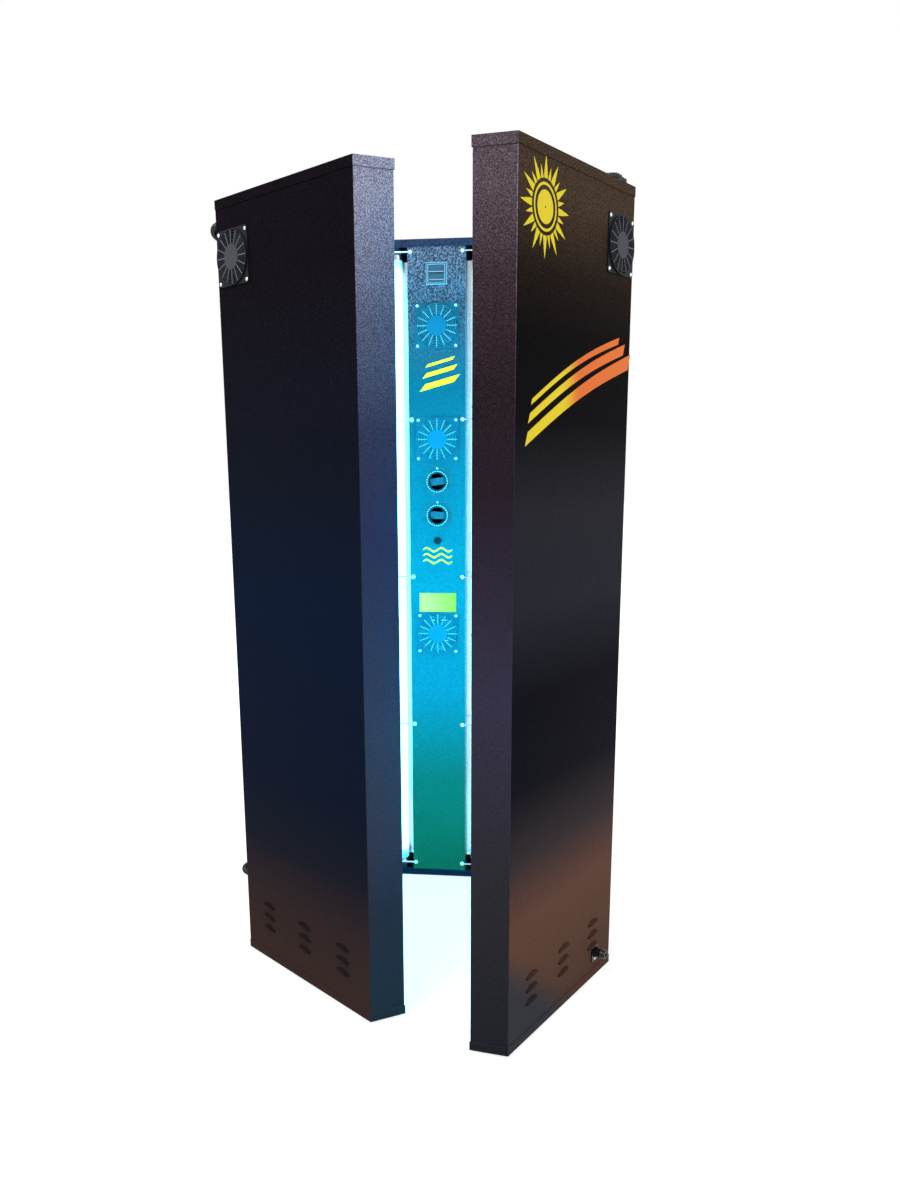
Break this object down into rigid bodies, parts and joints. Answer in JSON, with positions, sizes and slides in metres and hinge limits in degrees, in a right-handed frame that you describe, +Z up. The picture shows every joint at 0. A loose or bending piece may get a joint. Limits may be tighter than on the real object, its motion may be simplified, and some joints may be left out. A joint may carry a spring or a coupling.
{
  "type": "vertical tanning booth",
  "caption": "Upright tanning booth: a ring of black sheet trays full of fluorescent lamps, two of them hinged wings that a user steps in between.",
  "frame": {"origin": "on the floor under the middle of the rear tray, at the foot of its middle pad", "axes": "+Z up, +Y from the entrance towards the rear tray and out at the back, +X to the right of someone who faces the entrance"},
  "size_m": [0.9781, 0.9731, 1.869],
  "materials": {
    "black_sheet": "speckled black powder coat",
    "black_caps": "speckled black powder coat",
    "fascia_sheet": "speckled black powder coat",
    "lamp_glass": "white fluorescent lamp, lit",
    "reflector_sheet": "bright rolled",
    "holder_plastic": "matte black",
    "rod_wire": "bright plated wire",
    "bright_screws": "bright plated",
    "ballast_cans": "white enamel",
    "terminal_plastic": "cream",
    "timer_plastic": "matte black",
    "fan_housing": "matte black",
    "fan_grille": "matte black",
    "fan_blades": "black, slight sheen",
    "nozzle_plastic": "matte black",
    "vane_plastic": "matte black",
    "button_plastic": "gloss black",
    "switch_plastic": "matte black",
    "rocker_plastic": "gloss black",
    "label_film": "yellow-green film on a plate",
    "hinge_steel": "black coated steel",
    "pin_steel": "drawn wire",
    "foot_rubber": "matte black",
    "conduit_plastic": "ribbed, matte black",
    "gland_plastic": "matte black"
  },
  "bodies": {
    "fixed_unit": {"rear_casing": "black_sheet", "fixed_caps": "black_caps", "fixed_reflectors": "reflector_sheet", "fixed_lamps": "lamp_glass", "fixed_lampholders": "holder_plastic", "fascia": "fascia_sheet", "left_side_casing": "black_sheet", "right_side_casing": "black_sheet", "fixed_guard_rods": "rod_wire", "fixed_screws": "bright_screws", "fixed_ballasts": "ballast_cans", "terminal_block": "terminal_plastic", "timer_unit": "timer_plastic", "fascia_fan_frames": "fan_housing", "fascia_fan_guards": "fan_grille", "nozzle_rings": "nozzle_plastic", "switch_frame": "switch_plastic", "label_plate": "label_film", "frame_hinge_leaves": "hinge_steel", "hinge_pins": "pin_steel", "feet": "foot_rubber", "left_conduits": "conduit_plastic", "right_conduit": "conduit_plastic"},
    "left_wing": {"left_wing_casing": "black_sheet", "left_wing_caps": "black_caps", "left_wing_reflector": "reflector_sheet", "left_wing_lamps": "lamp_glass", "left_wing_lampholders": "holder_plastic", "left_wing_guard_rods": "rod_wire", "left_wing_screws": "bright_screws", "left_wing_ballasts": "ballast_cans", "left_wing_hinge_leaf": "hinge_steel", "left_wing_fan_frame": "fan_housing", "left_wing_fan_guard": "fan_grille", "left_wing_glides": "foot_rubber"},
    "left_wing_fan": {"left_wing_fan_rotor": "fan_blades"},
    "right_wing": {"right_wing_casing": "black_sheet", "right_wing_caps": "black_caps", "right_wing_reflector": "reflector_sheet", "right_wing_lamps": "lamp_glass", "right_wing_lampholders": "holder_plastic", "right_wing_guard_rods": "rod_wire", "right_wing_screws": "bright_screws", "right_wing_ballasts": "ballast_cans", "right_wing_hinge_leaf": "hinge_steel", "right_wing_fan_frame": "fan_housing", "right_wing_fan_guard": "fan_grille", "right_wing_glides": "foot_rubber", "mains_gland": "gland_plastic"},
    "right_wing_fan": {"right_wing_fan_rotor": "fan_blades"},
    "upper_fan": {"upper_fan_rotor": "fan_blades"},
    "middle_fan": {"middle_fan_rotor": "fan_blades"},
    "lower_fan": {"lower_fan_rotor": "fan_blades"},
    "upper_nozzle_sleeve": {"upper_nozzle": "nozzle_plastic"},
    "upper_nozzle_vane": {"upper_vane": "vane_plastic"},
    "upper_rocker_key": {"upper_rocker": "rocker_plastic"},
    "lower_nozzle_sleeve": {"lower_nozzle": "nozzle_plastic"},
    "lower_nozzle_vane": {"lower_vane": "vane_plastic"},
    "lower_rocker_key": {"lower_rocker": "rocker_plastic"},
    "start_button": {"push_button": "button_plastic"}
  },
  "joints": [
    {"name": "left_wing_hinge", "type": "hinge", "parent": "fixed_unit", "child": "left_wing", "pos_m": [-0.4295, -0.4365, 0.9], "axis": [0, 0, -1], "range_deg": [0, 90], "deforming": ["left_conduits"]},
    {"name": "right_wing_hinge", "type": "hinge", "parent": "fixed_unit", "child": "right_wing", "pos_m": [0.4295, -0.4365, 0.9], "axis": [0, 0, 1], "range_deg": [-20.2, 69.8], "deforming": ["right_conduit"]},
    {"name": "upper_fan_spin", "type": "hinge", "parent": "fixed_unit", "child": "upper_fan", "pos_m": [0, -0.025, 1.6194], "axis": [0, -1, 0], "continuous": true},
    {"name": "middle_fan_spin", "type": "hinge", "parent": "fixed_unit", "child": "middle_fan", "pos_m": [0, -0.025, 1.3157], "axis": [0, -1, 0], "continuous": true},
    {"name": "lower_fan_spin", "type": "hinge", "parent": "fixed_unit", "child": "lower_fan", "pos_m": [0, -0.025, 0.7631], "axis": [0, -1, 0], "continuous": true},
    {"name": "left_wing_fan_spin", "type": "hinge", "parent": "left_wing", "child": "left_wing_fan", "pos_m": [-0.40403, -0.55831, 1.7145], "axis": [-0.6406, -0.7679, 0], "continuous": true},
    {"name": "right_wing_fan_spin", "type": "hinge", "parent": "right_wing", "child": "right_wing_fan", "pos_m": [0.44765, -0.55961, 1.7145], "axis": [0.8664, -0.4994, 0], "continuous": true},
    {"name": "upper_nozzle_turn", "type": "hinge", "parent": "fixed_unit", "child": "upper_nozzle_sleeve", "pos_m": [0, -0.0392, 1.1993], "axis": [0, -1, 0], "continuous": true},
    {"name": "upper_vane_tilt", "type": "hinge", "parent": "upper_nozzle_sleeve", "child": "upper_nozzle_vane", "pos_m": [0, -0.0352, 1.1993], "axis": [0.9903, 0, 0.1392], "range_deg": [-45, 45]},
    {"name": "lower_nozzle_turn", "type": "hinge", "parent": "fixed_unit", "child": "lower_nozzle_sleeve", "pos_m": [0, -0.0392, 1.1045], "axis": [0, -1, 0], "continuous": true},
    {"name": "lower_vane_tilt", "type": "hinge", "parent": "lower_nozzle_sleeve", "child": "lower_nozzle_vane", "pos_m": [0, -0.0352, 1.1045], "axis": [0.9986, 0, -0.0523], "range_deg": [-45, 45]},
    {"name": "upper_rocker_tilt", "type": "hinge", "parent": "fixed_unit", "child": "upper_rocker_key", "pos_m": [0, -0.0362, 1.7656], "axis": [1, 0, 0], "range_deg": [0, 16]},
    {"name": "lower_rocker_tilt", "type": "hinge", "parent": "fixed_unit", "child": "lower_rocker_key", "pos_m": [0, -0.0362, 1.7436], "axis": [1, 0, 0], "range_deg": [0, 16]},
    {"name": "start_button_press", "type": "slide", "parent": "fixed_unit", "child": "start_button", "axis": [0, 1, 0], "range_m": [0, 0.003], "stiffness_N_per_m": 600, "springref_m": -0.001}
  ]
}
